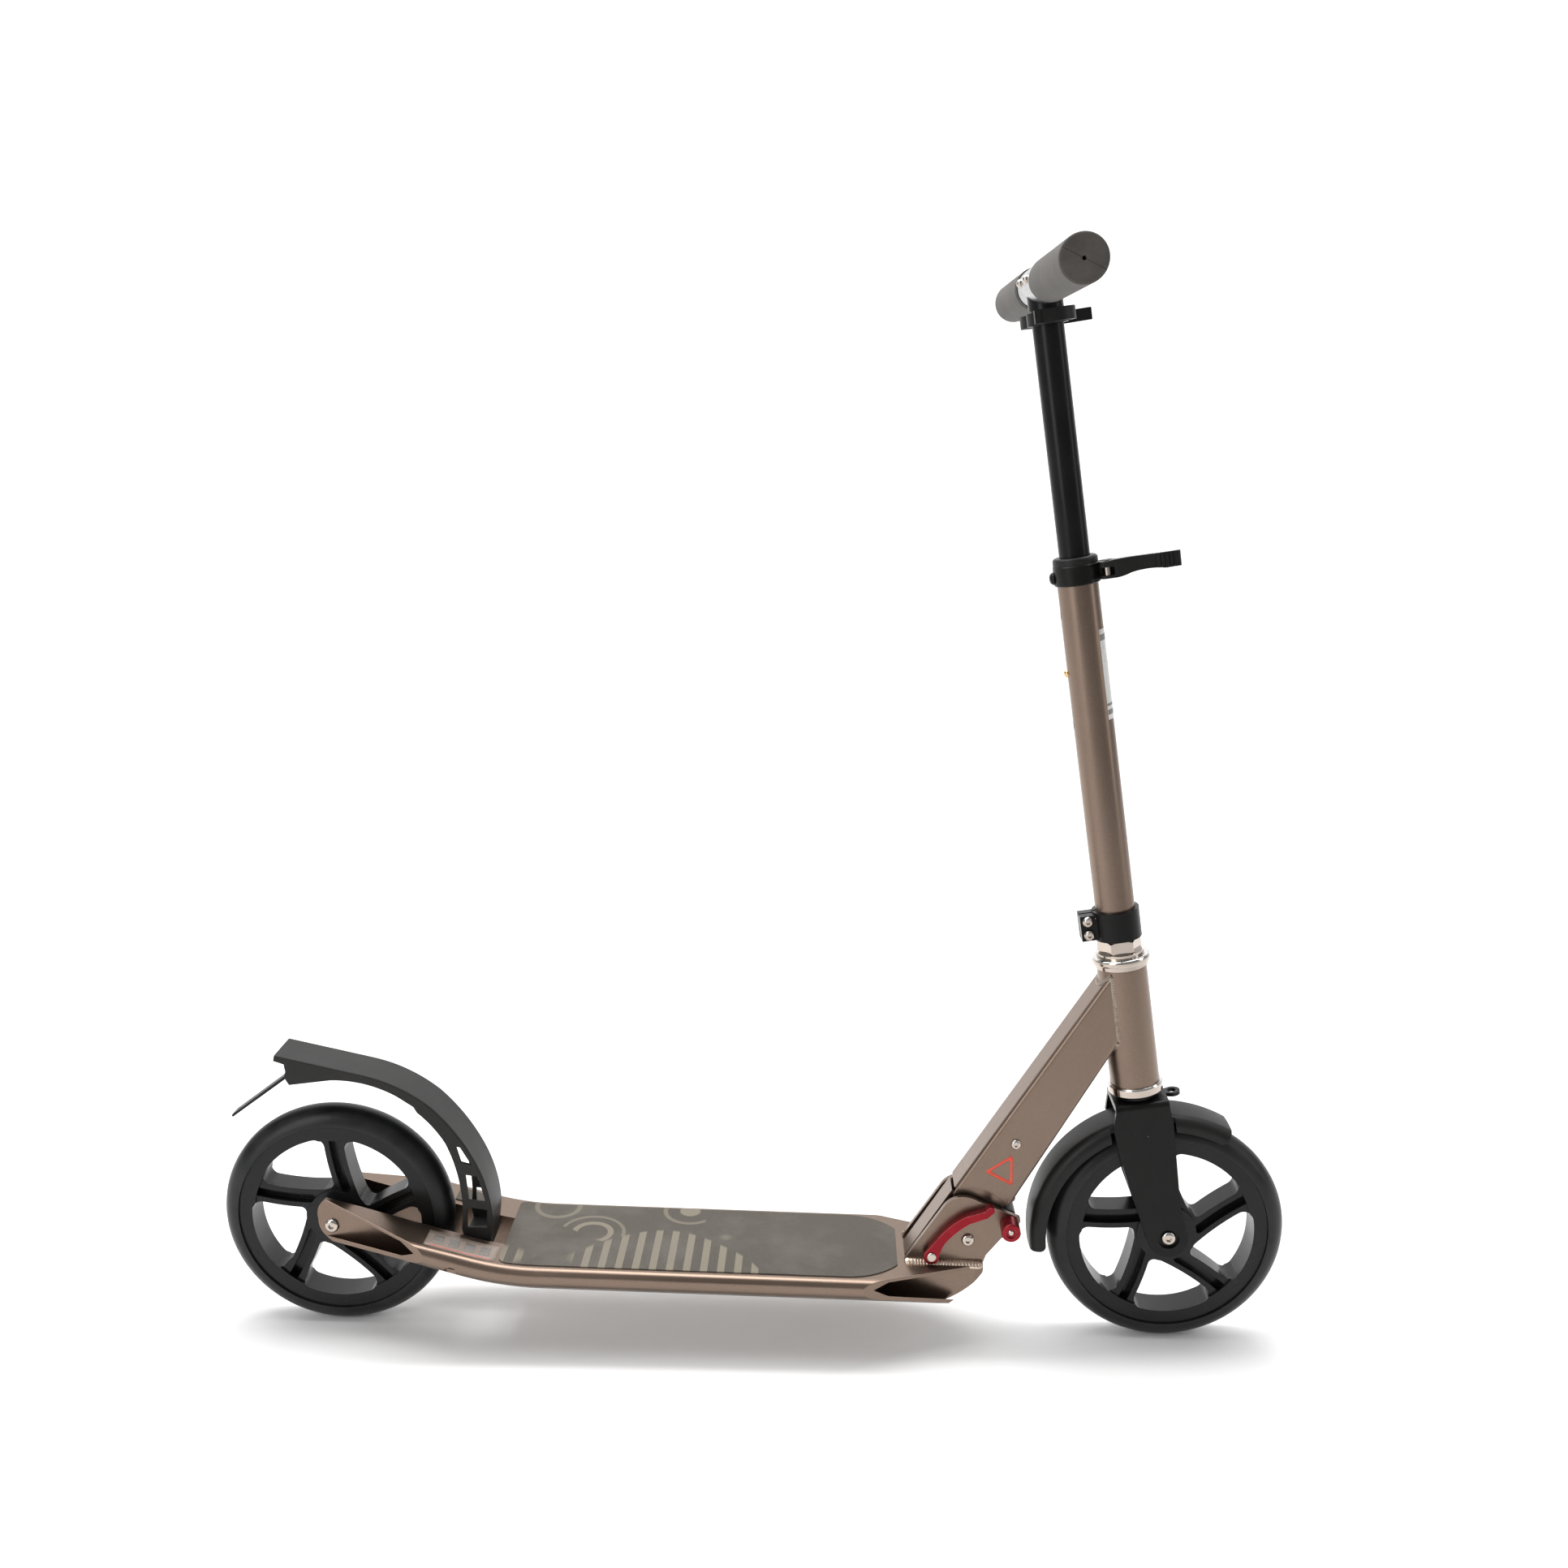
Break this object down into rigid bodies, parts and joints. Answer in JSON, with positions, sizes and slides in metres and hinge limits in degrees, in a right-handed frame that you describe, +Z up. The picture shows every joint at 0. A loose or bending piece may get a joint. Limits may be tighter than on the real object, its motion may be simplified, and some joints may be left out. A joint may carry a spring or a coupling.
{
  "type": "kick scooter",
  "caption": "Folding kick scooter with large spoked wheels, hollow metal deck, height-adjustable handlebar with foam grips, mudguard and foot brake.",
  "frame": {"origin": "on the ground plane, midway between the two axles, in the scooter's middle plane", "axes": "+X forward, +Y to the rider's left, +Z up"},
  "size_m": [0.91, 0.4, 0.8866],
  "materials": {
    "deck_metal": "satin champagne anodised aluminium",
    "grip_tape": "coarse dark grey-brown grip tape with paler pattern",
    "neck_metal": "satin champagne anodised aluminium",
    "weld": "rippled weld bead",
    "bright_steel": "polished plated steel",
    "zinc_steel": "plain plated steel",
    "black_steel": "gloss black paint",
    "red_metal": "satin red anodised aluminium",
    "black_plastic": "satin black plastic",
    "fender_plastic": "scuffed dark grey plastic",
    "tyre": "smooth black polyurethane tread",
    "rim_plastic": "semi-gloss black moulded plastic",
    "grip_foam": "matt grey-brown foam",
    "column_metal": "satin champagne anodised aluminium",
    "upper_black": "gloss black anodised tube",
    "tee_silver": "satin silver aluminium",
    "gold": "bright gold-toned button",
    "black_rubber": "matt black rubber"
  },
  "bodies": {
    "deck_frame": {"deck": "deck_metal", "grip_tape": "grip_tape", "fold_bracket": "neck_metal", "bracket_welds": "weld", "hinge_bolt": "bright_steel", "fold_lever_screw": "bright_steel", "rear_axle": "bright_steel", "rear_axle_spacers": "zinc_steel", "fender_pin": "zinc_steel"},
    "fold_frame": {"neck_box": "neck_metal", "neck_insert": "neck_metal", "neck_screws": "bright_steel", "neck_bumper": "black_rubber", "head_tube": "neck_metal", "lower_headset_cup": "bright_steel", "upper_headset_cup": "bright_steel", "headset_ball_rings": "zinc_steel"},
    "steering": {"fork": "black_steel", "steerer_tube": "zinc_steel", "crown_race": "black_steel", "upper_race_cover": "bright_steel", "headset_washer": "bright_steel", "headset_locknut": "bright_steel", "front_mudguard": "black_plastic", "front_axle": "bright_steel", "front_axle_spacers": "zinc_steel", "lower_clamp": "black_steel", "lower_clamp_screws": "bright_steel", "steering_column": "column_metal", "clamp_collar": "black_steel", "clamp_skewer": "bright_steel", "collar_screw": "black_steel", "column_guide_ring": "black_plastic"},
    "handlebar": {"upper_tube": "upper_black", "lower_bush": "black_plastic", "bar_clip": "black_plastic", "bar_stem": "upper_black", "bar_tee": "tee_silver", "bar_collars": "black_plastic"},
    "left_handle": {"left_grip": "grip_foam", "left_grip_tube": "tee_silver"},
    "right_handle": {"right_grip": "grip_foam", "right_grip_tube": "tee_silver"},
    "left_snap": {"left_snap_button": "bright_steel"},
    "right_snap": {"right_snap_button": "bright_steel"},
    "height_catch": {"height_button": "gold"},
    "quick_release": {"clamp_lever": "black_plastic"},
    "folding_lever": {"fold_lever": "red_metal"},
    "fold_lock": {"lock_rod": "bright_steel", "lock_knob": "red_metal", "lock_roller": "black_plastic"},
    "brake": {"rear_fender": "fender_plastic", "fender_flap": "black_plastic"},
    "front_wheel": {"front_rim": "rim_plastic", "front_tyre": "tyre", "front_bearings": "zinc_steel"},
    "rear_wheel": {"rear_rim": "rim_plastic", "rear_tyre": "tyre", "rear_bearings": "zinc_steel"}
  },
  "joints": [
    {"name": "fold", "type": "hinge", "parent": "deck_frame", "child": "fold_frame", "pos_m": [0.1863, 0, 0.0955], "axis": [0, -1, 0], "range_deg": [0, 76]},
    {"name": "steer", "type": "hinge", "parent": "fold_frame", "child": "steering", "pos_m": [0.31526, 0, 0.28464], "axis": [-0.1585, 0, 0.9874], "continuous": true},
    {"name": "bar_height", "type": "slide", "parent": "steering", "child": "handlebar", "axis": [-0.1585, 0, 0.9874], "range_m": [-0.128, 0.046]},
    {"name": "left_pull", "type": "slide", "parent": "handlebar", "child": "left_handle", "axis": [0, 1, 0], "range_m": [0, 0.045]},
    {"name": "right_pull", "type": "slide", "parent": "handlebar", "child": "right_handle", "axis": [0, -1, 0], "range_m": [0, 0.045]},
    {"name": "left_snap_press", "type": "slide", "parent": "handlebar", "child": "left_snap", "axis": [0.9922, 0, -0.1243], "range_m": [0, 0.002], "stiffness_N_per_m": 500},
    {"name": "right_snap_press", "type": "slide", "parent": "handlebar", "child": "right_snap", "axis": [0.9922, 0, -0.1243], "range_m": [0, 0.002], "stiffness_N_per_m": 500},
    {"name": "height_press", "type": "slide", "parent": "steering", "child": "height_catch", "axis": [0.9874, 0, 0.1585], "range_m": [0, 0.0017], "stiffness_N_per_m": 500},
    {"name": "quick_release_turn", "type": "hinge", "parent": "steering", "child": "quick_release", "pos_m": [0.27746, -0.014, 0.65888], "axis": [0.1585, 0, -0.9874], "range_deg": [0, 100]},
    {"name": "fold_lever_turn", "type": "hinge", "parent": "deck_frame", "child": "folding_lever", "pos_m": [0.1555, -0.026, 0.0829], "axis": [0, -1, 0], "range_deg": [0, 25]},
    {"name": "lock_slide", "type": "slide", "parent": "deck_frame", "child": "fold_lock", "axis": [1, 0, 0], "range_m": [0, 0.0035]},
    {"name": "brake_press", "type": "hinge", "parent": "deck_frame", "child": "brake", "pos_m": [-0.232, 0, 0.075], "axis": [0, -1, 0], "range_deg": [0, 11], "stiffness_Nm_per_rad": 3, "springref_deg": -11.46},
    {"name": "front_spin", "type": "hinge", "parent": "steering", "child": "front_wheel", "pos_m": [0.355, 0, 0.1], "axis": [0, 1, 0], "continuous": true},
    {"name": "rear_spin", "type": "hinge", "parent": "deck_frame", "child": "rear_wheel", "pos_m": [-0.355, 0, 0.1], "axis": [0, 1, 0], "continuous": true}
  ],
  "couplings": [
    {"joint": "lock_slide", "follows": "fold_lever_turn", "m_per_rad": 0.0080134}
  ]
}
